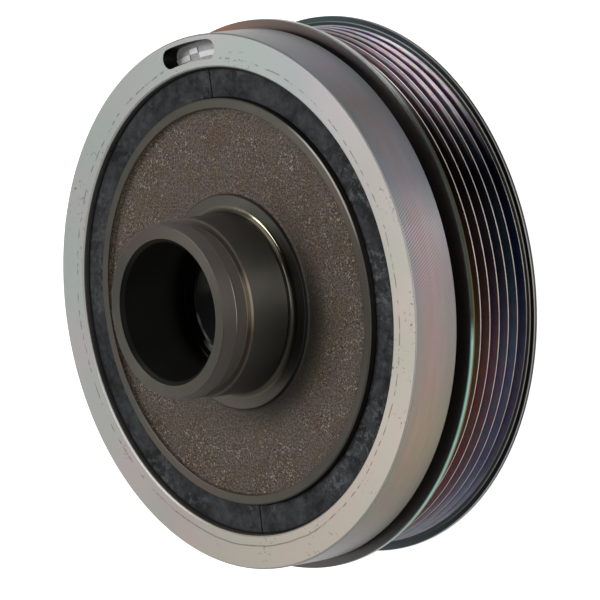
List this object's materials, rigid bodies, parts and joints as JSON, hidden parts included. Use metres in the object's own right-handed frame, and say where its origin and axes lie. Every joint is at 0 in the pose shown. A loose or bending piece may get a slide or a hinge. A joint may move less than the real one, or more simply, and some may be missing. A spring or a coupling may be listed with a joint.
{
  "type": "harmonic balancer",
  "caption": "Crankshaft harmonic balancer: cast iron hub with a bored nose, carrying a plain inertia ring and a ribbed belt pulley ring, each on a layer of rubber.",
  "frame": {"origin": "on the shaft axis, in the rear face of the belt pulley, which the part stands on", "axes": "+Z along the shaft axis towards the nose that slides onto the crankshaft; +Y passes near the milled pocket and the upper joint in the rubber"},
  "size_m": [0.1598, 0.1598, 0.0706],
  "materials": {
    "hub_iron": "sand-cast skin on the web, finely turned and oiled on the nose, boss, rim and drums",
    "ring_steel": "fine turned satin with a few handling marks",
    "pulley_steel": "turned and darkened by a thin oxide film with red, violet and blue tints, bright at the rib tips",
    "rubber": "matt, a little chalky"
  },
  "bodies": {
    "root": {"hub": "hub_iron", "damper_ring": "ring_steel", "damper_rubber_left": "rubber", "damper_rubber_right": "rubber", "pulley_ring": "pulley_steel", "pulley_rubber_left": "rubber", "pulley_rubber_right": "rubber"}
  },
  "joints": []
}
